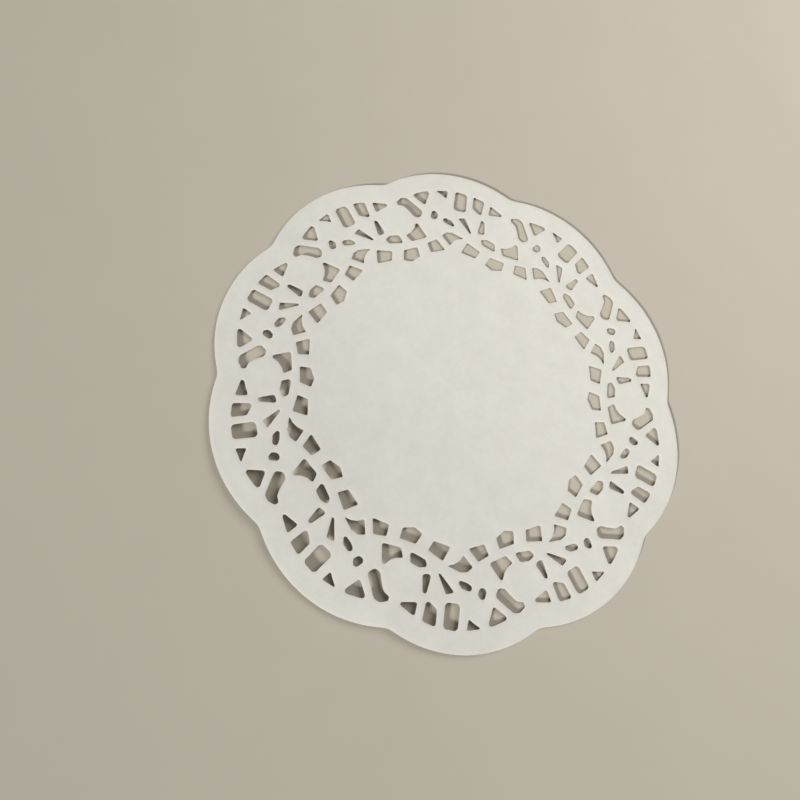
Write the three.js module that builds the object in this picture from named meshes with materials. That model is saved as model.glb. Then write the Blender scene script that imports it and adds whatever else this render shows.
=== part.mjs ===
// Paper doily: one flat round sheet with a scalloped rim and a lace-like cut border.
// Millimetres, +Z up. The underside lies at z = 0 and the centre of the disc is at x = y = 0.
// The middle of one scallop points along +Y, and a notch between two scallops along +X.

import * as THREE from "three";

// Driving dimensions.
const ACROSS_TOPS = 165; // over the tops of two opposite scallops
const THICKNESS = 1; // of the solid, which stands in for about 0.1 mm of paper
const REPEATS = 10; // scallops round the rim, each with its own repeat of the border
const SCALLOP_RADIUS = 42; // of the arc that bounds one scallop
const SCALLOP_SIDES = 12; // straight lengths that make up that arc
const NOTCH_EASE = 0.9; // how far the soft inner corner reaches along the scallop on each side
const BOW_SIDES = 3; // straight lengths that make up one bowed side of a cut-out
const LONGEST_CUT = 0.42; // share of a side that the rounding of one corner may use up

const PAPER = { color: 0xe9e6dd, roughness: 0.9, metalness: 0 };

// One repeat of the border, for the scallop whose middle is on +Y.
// corners: [x, y] anticlockwise, x to the right and y outwards from the centre of the disc.
// round: radius of the corners. bow: side number to how far that side bulges out of the cut-out.
// Side 0 runs from corner 0 to corner 1; a bow below zero makes the side hollow.
const CUT_OUTS = [
  // The outer row, under the scallop's plain margin.
  { name: "large gusset", round: 0.5, bow: { 2: 0.3 }, corners: [[-14.3, 72.1], [-9.3, 68.5], [-7.1, 74.8]] },
  { name: "thin gusset", round: 0.3, bow: { 2: -0.2 }, corners: [[-1.1, 72.2], [-0.2, 75.7], [-5.3, 75.1]] },
  { name: "tall window", round: 0.8, bow: {}, corners: [[1.4, 68.0], [6.3, 67.5], [7.3, 75.1], [2.6, 75.8]] },
  {
    name: "short window",
    round: 0.5,
    bow: {},
    corners: [[8.9, 69.6], [11.3, 67.4], [12.4, 67.4], [13.9, 72.9], [9.6, 74.6]],
  },
  { name: "side gusset", round: 0.4, bow: {}, corners: [[15.0, 67.5], [20.3, 67.5], [20.5, 68.4], [16.1, 71.6]] },
  // The middle row, round the plain disc that lies on each notch line.
  {
    name: "banana",
    round: 0.9,
    bow: { 1: -0.2 },
    corners: [[-21.1, 67.5], [-17.4, 67.2], [-13.6, 63.5], [-11.4, 63.1], [-10.0, 65.9], [-16.1, 70.7], [-18.1, 70.5]],
  },
  { name: "drop", round: 0.7, bow: {}, corners: [[-7.7, 63.4], [-5.2, 63.3], [-4.2, 65.3], [-6.2, 67.8]] },
  {
    name: "leaf",
    round: 0.6,
    bow: {},
    corners: [[-3.1, 63.2], [-1.1, 61.9], [2.6, 60.7], [0.8, 63.6], [-1.8, 64.5]],
  },
  { name: "slit", round: 0.3, bow: {}, corners: [[7.4, 59.3], [8.3, 59.1], [6.0, 65.3], [3.2, 64.7]] },
  { name: "wedge", round: 0.5, bow: {}, corners: [[10.3, 59.4], [13.3, 59.4], [13.5, 65.1], [12.2, 65.0]] },
  {
    name: "fan",
    round: 0.5,
    bow: { 5: -0.9 },
    corners: [[-16.7, 55.7], [-14.4, 53.5], [-9.0, 55.8], [-9.0, 56.5], [-12.1, 61.0], [-13.0, 60.8]],
  },
  {
    name: "flare",
    round: 0.3,
    bow: { 1: -1.0 },
    corners: [[-3.2, 57.2], [-0.2, 53.6], [5.5, 56.8], [1.1, 58.8], [-1.2, 58.7]],
  },
  {
    name: "lozenge",
    round: 0.5,
    bow: {},
    corners: [[11.6, 57.3], [12.1, 55.2], [17.0, 52.7], [17.1, 56.1], [14.3, 57.5]],
  },
  // The inner row of squares, next to the plain middle.
  { name: "left square", round: 0.3, bow: {}, corners: [[-7.4, 50.1], [-1.9, 51.7], [-5.0, 55.6], [-8.7, 53.6]] },
  { name: "right square", round: 0.3, bow: {}, corners: [[3.9, 51.2], [9.2, 49.5], [11.4, 52.4], [6.6, 55.5]] },
  {
    name: "notch square",
    round: 0.3,
    bow: {},
    corners: [[-17.5, 45.9], [-14.4, 45.8], [-11.4, 48.2], [-12.3, 51.6], [-17.4, 49.8]],
  },
];

// The point a share t of the way along a side from a to b that bulges to its right by bow.
function alongSide(a, b, bow, t) {
  const way = b.clone().sub(a);
  const right = new THREE.Vector2(way.y, -way.x).normalize();
  return a.clone().addScaledVector(way, t).addScaledVector(right, 4 * bow * t * (1 - t));
}

// The outline of one cut-out: each corner is cut off where its rounding starts and ends.
function cutOutPoints({ corners, round, bow }) {
  const tips = corners.map(([x, y]) => new THREE.Vector2(x, y));
  const points = [];
  tips.forEach((tip, i) => {
    const before = tips.at(i - 1);
    const after = tips[(i + 1) % tips.length];
    const sideIn = tip.distanceTo(before);
    const sideOut = tip.distanceTo(after);
    const half = before.clone().sub(tip).angleTo(after.clone().sub(tip)) / 2;
    const cut = Math.min(round / Math.tan(half), LONGEST_CUT * sideIn, LONGEST_CUT * sideOut);
    const bowIn = bow[(i + tips.length - 1) % tips.length] ?? 0;
    const bowOut = bow[i] ?? 0;
    points.push(alongSide(before, tip, bowIn, 1 - cut / sideIn));
    points.push(alongSide(tip, after, bowOut, cut / sideOut));
    for (let k = 1; bowOut !== 0 && k < BOW_SIDES; k++) {
      points.push(alongSide(tip, after, bowOut, k / BOW_SIDES));
    }
  });
  return points;
}

// The rim over one repeat, from one notch to the next, for the scallop whose middle is on +Y.
function scallopPoints() {
  const halfRepeat = Math.PI / REPEATS;
  const arcCentre = ACROSS_TOPS / 2 - SCALLOP_RADIUS;
  // The notch is where the arc meets the line half a repeat away from the scallop's middle.
  const toFoot = arcCentre * Math.cos(halfRepeat);
  const offLine = arcCentre * Math.sin(halfRepeat);
  const notchRadius = toFoot + Math.sqrt(SCALLOP_RADIUS ** 2 - offLine ** 2);
  const notchX = notchRadius * Math.sin(halfRepeat);
  const reach = Math.asin(notchX / SCALLOP_RADIUS) - NOTCH_EASE / SCALLOP_RADIUS;
  const points = [];
  for (let k = 0; k <= SCALLOP_SIDES; k++) {
    const angle = reach - (2 * reach * k) / SCALLOP_SIDES;
    points.push(
      new THREE.Vector2(SCALLOP_RADIUS * Math.sin(angle), arcCentre + SCALLOP_RADIUS * Math.cos(angle)),
    );
  }
  return points;
}

// The same points, turned anticlockwise by a number of repeats.
function turned(points, repeats) {
  const centre = new THREE.Vector2();
  return points.map((point) => point.clone().rotateAround(centre, (repeats * 2 * Math.PI) / REPEATS));
}

function doilyShape() {
  const turns = Array.from({ length: REPEATS }, (_, i) => i);
  const scallop = scallopPoints();
  const shape = new THREE.Shape(turns.flatMap((i) => turned(scallop, i)));
  for (const cutOut of CUT_OUTS) {
    const outline = cutOutPoints(cutOut);
    for (const i of turns) {
      shape.holes.push(new THREE.Path(turned(outline, i)));
    }
  }
  return shape;
}

function doilyMesh() {
  const geometry = new THREE.ExtrudeGeometry(doilyShape(), { depth: THICKNESS, bevelEnabled: false });
  const mesh = new THREE.Mesh(geometry, new THREE.MeshStandardMaterial(PAPER));
  mesh.name = "doily";
  return mesh;
}

const doily = new THREE.Group();
doily.add(doilyMesh());

export default doily;
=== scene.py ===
"""Paper doily: one thin round sheet with a scalloped rim and a lace-like cut border, on a pale table."""

import logging
import math
import sys
from dataclasses import dataclass, field
from enum import Enum

import bpy
from mathutils import Euler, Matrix, Vector, kdtree, noise
from mathutils.geometry import delaunay_2d_cdt

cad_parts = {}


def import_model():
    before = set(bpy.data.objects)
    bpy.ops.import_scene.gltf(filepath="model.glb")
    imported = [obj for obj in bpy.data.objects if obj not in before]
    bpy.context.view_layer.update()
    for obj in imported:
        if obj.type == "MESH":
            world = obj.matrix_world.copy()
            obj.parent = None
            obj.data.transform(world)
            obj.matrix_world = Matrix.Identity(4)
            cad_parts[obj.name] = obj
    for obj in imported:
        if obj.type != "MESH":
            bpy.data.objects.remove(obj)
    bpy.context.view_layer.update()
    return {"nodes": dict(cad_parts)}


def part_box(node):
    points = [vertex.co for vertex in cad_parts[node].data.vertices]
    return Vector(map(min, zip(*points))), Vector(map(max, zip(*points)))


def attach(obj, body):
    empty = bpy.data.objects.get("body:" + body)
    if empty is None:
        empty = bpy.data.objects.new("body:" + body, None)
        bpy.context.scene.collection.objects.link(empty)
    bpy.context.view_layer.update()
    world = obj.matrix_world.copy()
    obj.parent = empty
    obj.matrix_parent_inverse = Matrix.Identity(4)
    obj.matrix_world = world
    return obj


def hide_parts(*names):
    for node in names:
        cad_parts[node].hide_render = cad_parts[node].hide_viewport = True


LOG = logging.getLogger("doily")
MM = 0.001
HEX_ROW = math.sqrt(0.75)
FACE_SLACK = 0.01 * MM
SAME_SPOT_DIGITS = 7
MIX_COLOUR_A, MIX_COLOUR_B, MIX_COLOUR_RESULT = 6, 7, 2
Loop = list[Vector]
Triangle = tuple[int, ...]
Span = tuple[float, float]
Place = tuple[float, float, float]
Colour = tuple[float, float, float]


def enclosed_area(loop: Loop) -> float:
    """Works out the area inside a closed line.

    Args:
        loop: The line's points in the plane.

    Returns:
        The area, above zero where the line runs anticlockwise.
    """
    return sum(a.cross(b) for a, b in zip(loop, loop[1:] + loop[:1])) / 2


def surrounds(loop: Loop, spot: Vector) -> bool:
    """Tells whether a spot lies inside a closed line.

    Args:
        loop: The line's points in the plane.
        spot: The spot to test.

    Returns:
        True where the spot is inside.
    """
    inside = False
    for a, b in zip(loop, loop[1:] + loop[:1]):
        if (a.y > spot.y) != (b.y > spot.y) and spot.x < a.x + (spot.y - a.y) * (b.x - a.x) / (b.y - a.y):
            inside = not inside
    return inside


def soft_step(low: float, high: float, value: float) -> float:
    """Rises smoothly from 0 to 1.

    Args:
        low: Where the rise starts.
        high: Where the rise ends.
        value: Where to read it.

    Returns:
        A share from 0 to 1.
    """
    share = min(1.0, max(0.0, (value - low) / (high - low)))
    return share * share * (3 - 2 * share)


@dataclass(frozen=True)
class CutLine:
    """How a stamped line looks up close: its corners are eased, and its edge is slightly ragged."""

    ease: float
    most_of_side: float = 0.5
    corner_sides: int = 3
    step: float = 0.38 * MM
    too_close: float = 0.38 * MM / 6
    ragged: float = 0.035 * MM
    ragged_scale: float = 0.9 * MM
    ragged_layers: Span = (3.4, 7.3)

    def drawn(self, loop: Loop) -> Loop:
        """Softens and roughens one closed line.

        Args:
            loop: The line's corners.

        Returns:
            The finer line, with its points at most about one step apart.
        """
        soft: Loop = []
        for before, tip, after in zip(loop[-1:] + loop[:-1], loop, loop[1:] + loop[:1]):
            start = tip.lerp(before, min(self.most_of_side, self.ease / (before - tip).length))
            end = tip.lerp(after, min(self.most_of_side, self.ease / (after - tip).length))
            for k in range(self.corner_sides + 1):
                t = k / self.corner_sides
                soft.append(start.lerp(tip, t).lerp(tip.lerp(end, t), t))
        soft = [a for a, b in zip(soft, soft[1:] + soft[:1]) if (b - a).length > self.too_close]
        fine: Loop = []
        for a, b in zip(soft, soft[1:] + soft[:1]):
            pieces = max(1, round((b - a).length / self.step))
            fine += [a.lerp(b, k / pieces) for k in range(pieces)]
        return [point + self.wander(point) for point in fine]

    def wander(self, point: Vector) -> Vector:
        """Gives how far the torn fibres carry one point of the edge off its line.

        Args:
            point: The point on the line.

        Returns:
            What to add to the point.
        """
        places = [Vector((*(point / self.ragged_scale), layer)) for layer in self.ragged_layers]
        return self.ragged * Vector([noise.noise(place) for place in places])


@dataclass(frozen=True)
class CutPattern:
    """The lines that the die cuts. Each keeps the paper on its left."""

    rim: Loop
    cut_outs: list[Loop]

    @classmethod
    def of_solid(cls, solid: bpy.types.Object) -> "CutPattern":
        """Reads the lines off the upper face of the doily's solid.

        Args:
            solid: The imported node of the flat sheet.

        Returns:
            The rim and the cut-outs, corner by corner.
        """
        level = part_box(solid.name)[1].z - FACE_SLACK
        spots = [vertex.co.copy() for vertex in solid.data.vertices]
        keys = [(round(spot.x, SAME_SPOT_DIGITS), round(spot.y, SAME_SPOT_DIGITS)) for spot in spots]
        sides: dict[tuple, None] = {}
        for face in solid.data.polygons:
            if all(spots[i].z > level for i in face.vertices):
                corners = [keys[i] for i in face.vertices]
                sides.update(dict.fromkeys(zip(corners, corners[1:] + corners[:1])))
        # A side that no other face runs back along lies on a cut.
        follows = {a: b for a, b in sides if (b, a) not in sides}
        loops: list[Loop] = []
        while follows:
            start, here = follows.popitem()
            loop = [start]
            while here != start:
                loop.append(here)
                here = follows.pop(here)
            loops.append([Vector(point) for point in loop])
        loops.sort(key=enclosed_area)
        return cls(rim=loops[-1], cut_outs=loops[:-1])

    def redrawn(self, rim_line: CutLine, lace_line: CutLine) -> "CutPattern":
        """Gives the pattern as the blades leave it."""
        return CutPattern(rim_line.drawn(self.rim), [lace_line.drawn(loop) for loop in self.cut_outs])

    def loops(self) -> list[Loop]:
        """Gives every line, the rim first."""
        return [self.rim, *self.cut_outs]

    def net_area(self) -> float:
        """Gives the paper's area. The cut-outs run the other way round, so theirs comes off the rim's."""
        return sum(enclosed_area(loop) for loop in self.loops())


class EdgeField:
    """Measures how far a spot is from the nearest cut edge, and on which side of it."""

    def __init__(self, loops: list[Loop]) -> None:
        """Sorts the points of the edges for quick searching.

        Args:
            loops: The closed lines, each with the paper on its left.
        """
        self.points = [point for loop in loops for point in loop]
        self.lefts: list[Vector] = []
        for loop in loops:
            for before, after in zip(loop[-1:] + loop[:-1], loop[1:] + loop[:1]):
                way = after - before
                self.lefts.append(Vector((-way.y, way.x)))
        self.tree = kdtree.KDTree(len(self.points))
        for number, point in enumerate(self.points):
            self.tree.insert(point.to_3d(), number)
        self.tree.balance()

    def gap(self, spot: Vector) -> float:
        """Gives the distance to the nearest edge, below zero where the spot is off the paper."""
        _, number, distance = self.tree.find(spot.to_3d())
        return math.copysign(distance, (spot - self.points[number]).dot(self.lefts[number]))


@dataclass(frozen=True)
class SheetRelief:
    """How far a sheet that lies loose stands off the table, and how the die has pressed its edges."""

    swell: float = 0.42 * MM
    swell_scale: float = 62 * MM
    swell_at: Place = (5.1, 2.3, 0.5)
    lift: float = 2.4 * MM
    mean_curl: float = 0.7
    lift_scale: float = 46 * MM
    lift_at: Place = (2.1, 3.7, 0.4)
    lift_starts: float = 8 * MM
    lift_ends: float = 76 * MM
    lifted_side: float = math.radians(232)
    least_lift: float = 0.4
    cockle: float = 0.10 * MM
    cockle_scale: float = 8.5 * MM
    inner_cockle: float = 0.25
    press: float = 0.085 * MM
    press_reach: float = 0.42 * MM

    def height(self, spot: Vector, gap: float) -> float:
        """Works out the height of the paper over one spot.

        Args:
            spot: The spot, measured from the middle of the sheet.
            gap: How far it is from the nearest cut edge.

        Returns:
            The height, up to a constant for the whole sheet.
        """
        outward = soft_step(self.lift_starts, self.lift_ends, spot.length)
        towards = (1 + math.cos(math.atan2(spot.y, spot.x) - self.lifted_side)) / 2
        lifted = outward * (self.least_lift + (1 - self.least_lift) * towards)
        cockled = self.inner_cockle + (1 - self.inner_cockle) * outward
        place = spot.to_3d()
        slow = noise.noise(place / self.swell_scale + Vector(self.swell_at))
        curl = noise.noise(place / self.lift_scale + Vector(self.lift_at))
        ripple = noise.noise(place / self.cockle_scale)
        pressed = math.exp(-((gap / self.press_reach) ** 2))
        return (
            self.swell * slow
            + self.lift * lifted * self.mean_curl * (1 + curl)
            + self.cockle * cockled * ripple
            - self.press * pressed
        )


class Surface(Enum):
    """The kinds of surface that the sheet shows, in the order of its material slots."""

    FACE = 0
    CUT_EDGE = 1


@dataclass
class DoilySheet:
    """The doily's one piece: a closed sheet of paper with the real one's relief and cut edges."""

    pattern: CutPattern
    name: str = "doily_sheet"
    relief: SheetRelief = field(default_factory=SheetRelief)
    thickness: float = 0.24 * MM
    fine_step: float = 0.46 * MM
    fine_band: float = 0.95 * MM
    coarse_every: int = 3
    clear_of_edge: float = 0.24 * MM
    join_within: float = 1e-8
    off_table: float = 0.01 * MM
    sharp_from: float = math.radians(50)
    piece: bpy.types.Object | None = None

    def build(self) -> bpy.types.Object:
        """Builds the sheet as one closed mesh.

        Returns:
            The new piece, with each face's material index set for its kind of surface.
        """
        edges = EdgeField(self.pattern.loops())
        spots, faces = self.paper_mesh(self.inner_points(edges))
        heights = [self.relief.height(spot, edges.gap(spot)) for spot in spots]
        lowest = min(heights) - self.off_table
        bottom = [Vector((spot.x, spot.y, height - lowest)) for spot, height in zip(spots, heights)]
        top = [point + Vector((0, 0, self.thickness)) for point in bottom]
        under_faces = [tuple(i + len(top) for i in reversed(face)) for face in faces]
        walls = self.wall_faces(faces, len(top))
        mesh = bpy.data.meshes.new(self.name)
        mesh.from_pydata(top + bottom, [], faces + under_faces + walls)
        kinds = [Surface.FACE.value] * (2 * len(faces)) + [Surface.CUT_EDGE.value] * len(walls)
        mesh.polygons.foreach_set("material_index", kinds)
        mesh.polygons.foreach_set("use_smooth", [True] * len(kinds))
        mesh.set_sharp_from_angle(angle=self.sharp_from)
        self.piece = bpy.data.objects.new(self.name, mesh)
        bpy.context.scene.collection.objects.link(self.piece)
        return self.piece

    def inner_points(self, edges: EdgeField) -> Loop:
        """Spreads points over the paper, close together by the cut edges and wider apart elsewhere.

        Args:
            edges: The cut edges.

        Returns:
            The points, none of them close enough to an edge to make a sliver.
        """
        reach = max(point.length for point in self.pattern.rim)
        rows = math.ceil(reach / (self.fine_step * HEX_ROW))
        columns = math.ceil(reach / self.fine_step)
        points: Loop = []
        # The rows are staggered into a lattice of equal triangles, and the coarse one is part of it.
        for row in range(-rows, rows + 1):
            for column in range(-columns, columns + 1):
                spot = Vector((column + 0.5 * (row % 2), row * HEX_ROW)) * self.fine_step
                if spot.length > reach:
                    continue
                gap = edges.gap(spot)
                coarse = row % self.coarse_every == 0 and (column - row // 2) % self.coarse_every == 0
                if gap > self.clear_of_edge and (gap < self.fine_band or coarse):
                    points.append(spot)
        return points

    def paper_mesh(self, inner: Loop) -> tuple[Loop, list[Triangle]]:
        """Joins the cut lines and the inner points into triangles, and leaves out what the die removes.

        Args:
            inner: The points between the cut lines.

        Returns:
            The points of the paper and its triangles, anticlockwise seen from above.
        """
        points: Loop = []
        sides: list[tuple[int, int]] = []
        line_of: list[int] = []
        for number, loop in enumerate(self.pattern.loops()):
            first = len(points)
            points += loop
            line_of += [number] * len(loop)
            sides += [(first + k, first + (k + 1) % len(loop)) for k in range(len(loop))]
        # The points of the cut lines come first, so that a low number tells them from the inner ones.
        result = delaunay_2d_cdt(points + inner, sides, [], 0, self.join_within)
        spots, _, triangles, origins = result[:4]
        lines = [min((line_of[i] for i in origin if i < len(line_of)), default=-1) for origin in origins]
        kept: list[Triangle] = []
        used: dict[int, int] = {}
        for triangle in triangles:
            if not self.is_waste([spots[i] for i in triangle], {lines[i] for i in triangle}):
                kept.append(tuple(used.setdefault(i, len(used)) for i in triangle))
        return [spots[i] for i in used], kept

    def is_waste(self, corners: Loop, lines: set[int]) -> bool:
        """Tells whether a triangle is outside the rim or inside a cut-out.

        Args:
            corners: The triangle's corners.
            lines: The numbers of the cut lines that they are on, or -1 for a point between them.

        Returns:
            True where the die takes the triangle away.
        """
        if len(lines) > 1 or -1 in lines:
            return False
        number = lines.pop()
        middle = sum(corners, Vector((0, 0))) / len(corners)
        return surrounds(self.pattern.loops()[number], middle) != (number == 0)

    @staticmethod
    def wall_faces(faces: list[Triangle], under: int) -> list[Triangle]:
        """Closes the sheet along its cut edges.

        Args:
            faces: The triangles of the upper face.
            under: What to add to a point's number for the point below it.

        Returns:
            One four-sided face for each length of cut edge, facing away from the paper.
        """
        sides = dict.fromkeys(side for face in faces for side in zip(face, face[1:] + face[:1]))
        return [(b, a, a + under, b + under) for a, b in sides if (b, a) not in sides]

    def dress(self, finishes: dict[Surface, "PaperFinish"]) -> None:
        """Gives each kind of surface its paper.

        Args:
            finishes: The finish of each kind of surface.
        """
        for surface in Surface:
            self.piece.data.materials.append(finishes[surface].material())


class Bench:
    """A node tree, and short ways to set out and join its nodes."""

    def __init__(self, tree: bpy.types.NodeTree) -> None:
        """Starts on an emptied tree."""
        self.tree = tree
        tree.nodes.clear()

    def put(self, kind: str, inputs: dict | None = None, **settings: object) -> bpy.types.Node:
        """Sets out one node.

        Args:
            kind: Blender's name for the kind of node.
            inputs: Values for its inputs, or outputs of other nodes to join to them, by name or number.
            **settings: Values for the node's own properties.

        Returns:
            The new node.
        """
        node = self.tree.nodes.new(kind)
        for name, value in settings.items():
            setattr(node, name, value)
        for name, value in (inputs or {}).items():
            if isinstance(value, bpy.types.NodeSocket):
                self.tree.links.new(value, node.inputs[name])
            else:
                node.inputs[name].default_value = value
        return node

    def calc(self, operation: str, a: object, b: object) -> bpy.types.NodeSocket:
        """Sets out a Math node and gives its result."""
        return self.put("ShaderNodeMath", {0: a, 1: b}, operation=operation).outputs[0]

    def blend(self, share: float, a: object, b: object) -> bpy.types.NodeSocket:
        """Sets out the nodes that add up a share of one value and the rest of another."""
        return self.calc("ADD", self.calc("MULTIPLY", a, share), self.calc("MULTIPLY", b, 1 - share))

    def remap(self, value: object, span: Span, onto: Span = (0.0, 1.0)) -> bpy.types.NodeSocket:
        """Sets out a Map Range node.

        Args:
            value: What comes in.
            span: The lowest and the highest value that it is read between.
            onto: What those two become.

        Returns:
            The node's result.
        """
        ends = {"From Min": span[0], "From Max": span[1], "To Min": onto[0], "To Max": onto[1]}
        return self.put("ShaderNodeMapRange", {"Value": value, **ends}).outputs["Result"]

    def cloud(self, place: object, scale: object, detail: float) -> bpy.types.Node:
        """Sets out a Noise Texture node."""
        return self.put("ShaderNodeTexNoise", {"Vector": place, "Scale": scale, "Detail": detail})

    def tint(self, share: object, a: object, b: object) -> bpy.types.NodeSocket:
        """Sets out a Mix node for two colours.

        Args:
            share: How much there is of the second colour.
            a: The first colour, or the output that gives it.
            b: The second colour, or the output that gives it.

        Returns:
            The node's result.
        """
        inputs = {0: share}
        for number, colour in ((MIX_COLOUR_A, a), (MIX_COLOUR_B, b)):
            inputs[number] = colour if isinstance(colour, bpy.types.NodeSocket) else (*colour, 1.0)
        return self.put("ShaderNodeMix", inputs, data_type="RGBA").outputs[MIX_COLOUR_RESULT]


@dataclass(frozen=True)
class GroupSocket:
    """One input or output of a node group."""

    name: str
    incoming: bool
    default: float | None = None
    kind: str = "NodeSocketFloat"


class EffectGroup:
    """An effect on a surface as a node group, built once and placed in each material that needs it."""

    title = ""
    sockets: tuple[GroupSocket, ...] = ()

    @classmethod
    def tree(cls) -> bpy.types.NodeTree:
        """Gives the node group, and builds it the first time.

        Returns:
            The group's node tree.
        """
        group = bpy.data.node_groups.get(cls.title)
        if group is None:
            group = bpy.data.node_groups.new(cls.title, "ShaderNodeTree")
            for socket in cls.sockets:
                way = "INPUT" if socket.incoming else "OUTPUT"
                made = group.interface.new_socket(name=socket.name, in_out=way, socket_type=socket.kind)
                if socket.default is not None:
                    made.default_value = socket.default
            bench = Bench(group)
            cls.wire(bench, bench.put("NodeGroupInput"), bench.put("NodeGroupOutput"))
        return group

    @classmethod
    def wire(cls, bench: Bench, given: bpy.types.Node, results: bpy.types.Node) -> None:
        """Sets out the effect between the group's inputs and outputs.

        Args:
            bench: The group's tree.
            given: The node that holds the group's inputs.
            results: The node that takes its outputs.
        """
        raise NotImplementedError

    @classmethod
    def place(cls, bench: Bench, **values: object) -> bpy.types.Node:
        """Places the effect in a material.

        Args:
            bench: The material's tree.
            **values: Values for the group's inputs, by name.

        Returns:
            The group's node.
        """
        return bench.put("ShaderNodeGroup", values, node_tree=cls.tree())


class CloudyPulp(EffectGroup):
    """The soft clouds of thicker and thinner pulp in a sheet."""

    title = "cloudy pulp"
    sockets = (
        GroupSocket("size", True, 0.01),
        GroupSocket("cloud", False),
    )
    slow_share = 0.6
    slow_detail = 2.0
    times_quicker = 4.3
    quick_detail = 3.0
    cloud_span = (0.32, 0.68)

    @classmethod
    def wire(cls, bench: Bench, given: bpy.types.Node, results: bpy.types.Node) -> None:
        """Sets out two sizes of soft noise, one inside the other.

        Args:
            bench: The group's tree.
            given: The node that holds the clouds' size.
            results: The node that takes how thick the pulp is.
        """
        place = bench.put("ShaderNodeTexCoord").outputs["Object"]
        wide = bench.calc("DIVIDE", 1.0, given.outputs["size"])
        close = bench.calc("MULTIPLY", wide, cls.times_quicker)
        slow = bench.cloud(place, wide, cls.slow_detail).outputs[0]
        quick = bench.cloud(place, close, cls.quick_detail).outputs[0]
        both = bench.blend(cls.slow_share, slow, quick)
        bench.tree.links.new(bench.remap(both, cls.cloud_span), results.inputs["cloud"])


class MattedFibres(EffectGroup):
    """The short fibres that lie matted in the paper's surface, and the fine tooth between them.

    Headings are in degrees, and scales are in features for each metre.
    """

    title = "matted fibres"
    sockets = (
        GroupSocket("length", True, 0.0016),
        GroupSocket("width", True, 0.00012),
        GroupSocket("fibres", False),
        GroupSocket("tooth", False),
    )
    headings = (8.0, 67.0, 128.0)
    bend_scale = 700.0
    bend_detail = 1.0
    bend_reach = (0.7 * MM, 0.7 * MM, 0.0)
    strand_detail = 0.0
    strand_span = (0.6, 0.8)
    tooth_scale = 6500.0
    tooth_detail = 2.0

    @classmethod
    def wire(cls, bench: Bench, given: bpy.types.Node, results: bpy.types.Node) -> None:
        """Sets out one field of drawn-out noise for each heading, and keeps the highest.

        Args:
            bench: The group's tree.
            given: The node that holds the fibres' length and width.
            results: The node that takes the fibres and the tooth.
        """
        place = bench.put("ShaderNodeTexCoord").outputs["Object"]
        along = bench.calc("DIVIDE", 1.0, given.outputs["length"])
        across = bench.calc("DIVIDE", 1.0, given.outputs["width"])
        stretch = bench.put("ShaderNodeCombineXYZ", {"X": along, "Y": across, "Z": across}).outputs[0]
        bend = bench.cloud(place, cls.bend_scale, cls.bend_detail).outputs["Color"]
        shift = {0: bend, 1: cls.bend_reach, 2: place}
        bent = bench.put("ShaderNodeVectorMath", shift, operation="MULTIPLY_ADD").outputs[0]
        strands = None
        for heading in cls.headings:
            turn = {"Vector": bent, "Angle": math.radians(heading)}
            turned = bench.put("ShaderNodeVectorRotate", turn, rotation_type="Z_AXIS").outputs[0]
            drawn = bench.put("ShaderNodeVectorMath", {0: turned, 1: stretch}, operation="MULTIPLY")
            strand = bench.cloud(drawn.outputs[0], 1.0, cls.strand_detail).outputs[0]
            strands = strand if strands is None else bench.calc("MAXIMUM", strands, strand)
        bench.tree.links.new(bench.remap(strands, cls.strand_span), results.inputs["fibres"])
        tooth = bench.cloud(place, cls.tooth_scale, cls.tooth_detail).outputs[0]
        bench.tree.links.new(tooth, results.inputs["tooth"])


@dataclass(frozen=True)
class PaperFinish:
    """Uncoated white paper: matt, a little cloudy, with matted fibres and a fine tooth."""

    name: str
    bright: Colour
    dull: Colour
    fibre: Colour
    fibre_share: float
    smoothest: float
    roughest: float
    cloud_size: float
    fibre_length: float
    fibre_width: float
    relief: float
    fibre_rise: float = 0.6
    bump_strength: float = 0.5
    tooth_span: Span = (0.3, 0.7)
    gloss: float = 0.3
    sheen: float = 0.06
    sheen_roughness: float = 0.6

    def material(self) -> bpy.types.Material:
        """Builds the paper.

        Returns:
            The finished material.
        """
        paper = bpy.data.materials.new(self.name)
        paper.use_nodes = True
        bench = Bench(paper.node_tree)
        cloud = CloudyPulp.place(bench, size=self.cloud_size).outputs["cloud"]
        matted = MattedFibres.place(bench, length=self.fibre_length, width=self.fibre_width)
        fibres, tooth = matted.outputs["fibres"], matted.outputs["tooth"]
        pulp = bench.tint(cloud, self.dull, self.bright)
        colour = bench.tint(bench.calc("MULTIPLY", fibres, self.fibre_share), pulp, self.fibre)
        rise = bench.blend(self.fibre_rise, fibres, tooth)
        bump = bench.put(
            "ShaderNodeBump",
            {"Height": rise, "Strength": self.bump_strength, "Distance": self.relief},
        )
        shader = bench.put(
            "ShaderNodeBsdfPrincipled",
            {
                "Base Color": colour,
                "Roughness": bench.remap(tooth, self.tooth_span, (self.smoothest, self.roughest)),
                "Normal": bump.outputs["Normal"],
                "Specular IOR Level": self.gloss,
                "Sheen Weight": self.sheen,
                "Sheen Roughness": self.sheen_roughness,
            },
        )
        bench.put("ShaderNodeOutputMaterial", {"Surface": shader.outputs[0]})
        return paper


PAPER_FACE = PaperFinish(
    name="doily_paper",
    bright=(0.85, 0.835, 0.775),
    dull=(0.785, 0.77, 0.713),
    fibre=(0.90, 0.89, 0.84),
    fibre_share=0.35,
    smoothest=0.78,
    roughest=0.94,
    cloud_size=9 * MM,
    fibre_length=1.6 * MM,
    fibre_width=0.11 * MM,
    relief=0.06 * MM,
)
PAPER_CUT_EDGE = PaperFinish(
    name="doily_cut_edge",
    bright=(0.80, 0.78, 0.71),
    dull=(0.70, 0.67, 0.60),
    fibre=(0.86, 0.84, 0.79),
    fibre_share=0.6,
    smoothest=0.9,
    roughest=1.0,
    cloud_size=1.2 * MM,
    fibre_length=0.5 * MM,
    fibre_width=0.07 * MM,
    relief=0.05 * MM,
)


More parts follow.
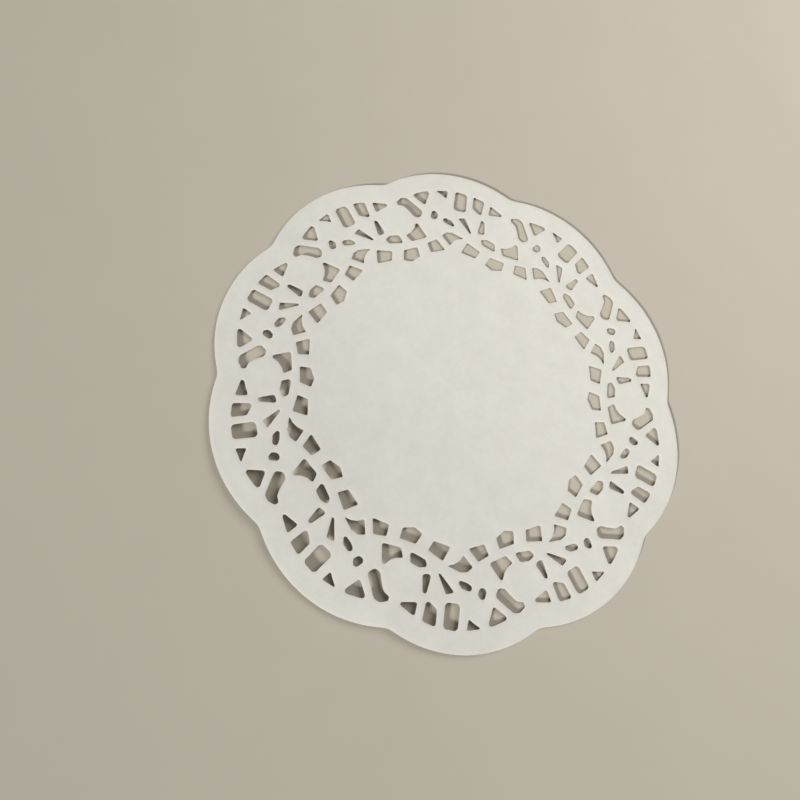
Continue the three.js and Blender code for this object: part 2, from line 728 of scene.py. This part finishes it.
@dataclass(frozen=True)
class TableTop:
    """The plain pale table that the doily lies on. Its colour is painted paler far away, as painted light
    where the near light fades.
    """

    name: str = "table_top"
    side: float = 6.0
    bright: Colour = (0.595, 0.556, 0.472)
    dull: Colour = (0.58, 0.542, 0.46)
    painted_far_light: Colour = (0.82, 0.77, 0.66)
    painted_light_from: float = 200 * MM
    painted_light_to: float = 900 * MM
    cloud_size: float = 60 * MM
    roughness: float = 1.0
    gloss: float = 0.12

    def build(self) -> bpy.types.Object:
        """Lays the table top under the doily.

        Returns:
            The floor piece.
        """
        half = self.side / 2
        corners = [(-half, -half, 0.0), (half, -half, 0.0), (half, half, 0.0), (-half, half, 0.0)]
        mesh = bpy.data.meshes.new(self.name)
        mesh.from_pydata(corners, [], [(0, 1, 2, 3)])
        mesh.materials.append(self.material())
        floor = bpy.data.objects.new(self.name, mesh)
        bpy.context.scene.collection.objects.link(floor)
        return floor

    def material(self) -> bpy.types.Material:
        """Builds the table's matt finish, with painted light that makes it paler far from the doily.

        Returns:
            The finished material.
        """
        matt = bpy.data.materials.new(self.name)
        matt.use_nodes = True
        bench = Bench(matt.node_tree)
        cloud = CloudyPulp.place(bench, size=self.cloud_size).outputs["cloud"]
        near = bench.tint(cloud, self.dull, self.bright)
        place = bench.put("ShaderNodeTexCoord").outputs["Object"]
        away = bench.put("ShaderNodeVectorMath", {0: place}, operation="LENGTH").outputs["Value"]
        # Painted light: the colour is painted paler away from the doily, standing in for light where the
        # near light fades.
        painted_light_share = bench.remap(away, (self.painted_light_from, self.painted_light_to))
        colour = bench.tint(painted_light_share, near, self.painted_far_light)
        shader = bench.put(
            "ShaderNodeBsdfPrincipled",
            {"Base Color": colour, "Roughness": self.roughness, "Specular IOR Level": self.gloss},
        )
        bench.put("ShaderNodeOutputMaterial", {"Surface": shader.outputs[0]})
        return matt


@dataclass(frozen=True)
class StudioLight:
    """A light that faces the doily.

    Its heading runs anticlockwise from +X and its elevation up from the table, both in degrees.
    """

    name: str
    heading: float
    elevation: float
    distance: float
    power: float
    tint: Colour

    def lamp(self) -> bpy.types.Light:
        """Makes the lamp itself.

        Returns:
            The lamp, without its power and tint.
        """
        raise NotImplementedError

    def build(self) -> bpy.types.Object:
        """Hangs the light.

        Returns:
            The light.
        """
        lamp = self.lamp()
        lamp.energy = self.power
        lamp.color = self.tint
        light = bpy.data.objects.new(self.name, lamp)
        round_by, up_by = math.radians(self.heading), math.radians(self.elevation)
        level = math.cos(up_by)
        away = Vector((math.cos(round_by) * level, math.sin(round_by) * level, math.sin(up_by)))
        light.location = away * self.distance
        light.rotation_euler = away.to_track_quat("Z", "Y").to_euler()
        bpy.context.scene.collection.objects.link(light)
        return light


@dataclass(frozen=True)
class SoftBox(StudioLight):
    """A square light, so near that its own side of the doily is the brighter one."""

    side: float = 0.4

    def lamp(self) -> bpy.types.Light:
        """Makes a square lamp.

        Returns:
            The lamp.
        """
        lamp = bpy.data.lights.new(self.name, "AREA")
        lamp.size = self.side
        return lamp


@dataclass(frozen=True)
class HazySun(StudioLight):
    """A far light that is as strong all over the table, and whose breadth softens the shadows."""

    breadth: float = math.radians(10)

    def lamp(self) -> bpy.types.Light:
        """Makes a far lamp.

        Returns:
            The lamp.
        """
        lamp = bpy.data.lights.new(self.name, "SUN")
        lamp.angle = self.breadth
        return lamp


@dataclass(frozen=True)
class Viewpoint:
    """The photograph's view: nearly straight down, from the lower left. Its angles are in degrees."""

    name: str = "viewpoint"
    aim: tuple[float, float] = (-37.11 * MM, 6.02 * MM)
    distance: float = 226.13 * MM
    heading: float = -30.55
    tilt: float = 20.38
    roll: float = 32.905
    lens: float = 30.861
    shift_x: float = 0.0663
    shift_y: float = -0.0429
    sensor: float = 36.0
    sees_from: float = 0.01
    sees_to: float = 20.0

    def build(self) -> bpy.types.Object:
        """Sets up the camera.

        Returns:
            The camera, which is made the scene's own.
        """
        data = bpy.data.cameras.new(self.name)
        data.lens = self.lens
        data.sensor_width = self.sensor
        data.shift_x, data.shift_y = self.shift_x, self.shift_y
        data.clip_start, data.clip_end = self.sees_from, self.sees_to
        camera = bpy.data.objects.new(self.name, data)
        round_by = Euler((0, 0, math.radians(self.heading))).to_matrix()
        lean = Euler((math.radians(self.tilt), 0, 0)).to_matrix()
        roll = Euler((0, 0, math.radians(self.roll))).to_matrix()
        turn = round_by @ lean @ roll
        camera.location = Vector((*self.aim, 0.0)) + turn @ Vector((0, 0, self.distance))
        camera.rotation_euler = turn.to_euler()
        bpy.context.scene.collection.objects.link(camera)
        bpy.context.scene.camera = camera
        return camera


@dataclass(frozen=True)
class Studio:
    """What surrounds the doily: the table, the lights, the room's soft light and the camera."""

    table: TableTop = TableTop()
    lights: tuple[StudioLight, ...] = (
        HazySun(
            name="key_light",
            heading=222,
            elevation=27,
            distance=3.0,
            power=2.85,
            tint=(1.0, 0.985, 0.95),
        ),
        SoftBox(
            name="fill_light",
            heading=30,
            elevation=55,
            distance=0.5,
            power=1.2,
            tint=(1.0, 0.965, 0.915),
        ),
    )
    view: Viewpoint = Viewpoint()
    room_light: float = 0.13
    room_tint: Colour = (0.93, 0.96, 1.0)
    backdrop: Colour = (0.434, 0.407, 0.347)

    def build(self) -> None:
        """Sets up the whole studio."""
        self.table.build()
        for light in self.lights:
            light.build()
        self.view.build()
        world = bpy.data.worlds.new("room")
        world.use_nodes = True
        bench = Bench(world.node_tree)
        glow = bench.put(
            "ShaderNodeBackground",
            {"Color": (*self.room_tint, 1.0), "Strength": self.room_light},
        )
        wall = bench.put("ShaderNodeBackground", {"Color": (*self.backdrop, 1.0)})
        seen = bench.put("ShaderNodeLightPath").outputs["Is Camera Ray"]
        both = bench.put("ShaderNodeMixShader", {0: seen, 1: glow.outputs[0], 2: wall.outputs[0]})
        bench.put("ShaderNodeOutputWorld", {"Surface": both.outputs[0]})
        bpy.context.scene.world = world
        bpy.context.scene.view_settings.view_transform = "Standard"


RIM_LINE = CutLine(ease=3 * MM)
LACE_LINE = CutLine(ease=0.45 * MM)


def main() -> None:
    """Builds the doily and its studio, piece by piece."""
    logging.basicConfig(level=logging.INFO, format="%(name)s: %(message)s", stream=sys.stdout, force=True)
    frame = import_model()
    drawn = CutPattern.of_solid(frame["nodes"]["doily"])
    LOG.info("cut pattern: a rim of %d corners and %d cut-outs", len(drawn.rim), len(drawn.cut_outs))
    sheet = DoilySheet(drawn.redrawn(RIM_LINE, LACE_LINE))
    piece = sheet.build()
    sheet.dress({Surface.FACE: PAPER_FACE, Surface.CUT_EDGE: PAPER_CUT_EDGE})
    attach(piece, "root")
    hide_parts("doily")
    drawn.net_area()
    LOG.info("%s: %d points, %d faces", piece.name, len(piece.data.vertices), len(piece.data.polygons))
    studio = Studio()
    studio.build()
    LOG.info("studio: table, %d lights and camera", len(studio.lights))


if __name__ == "__main__":
    main()
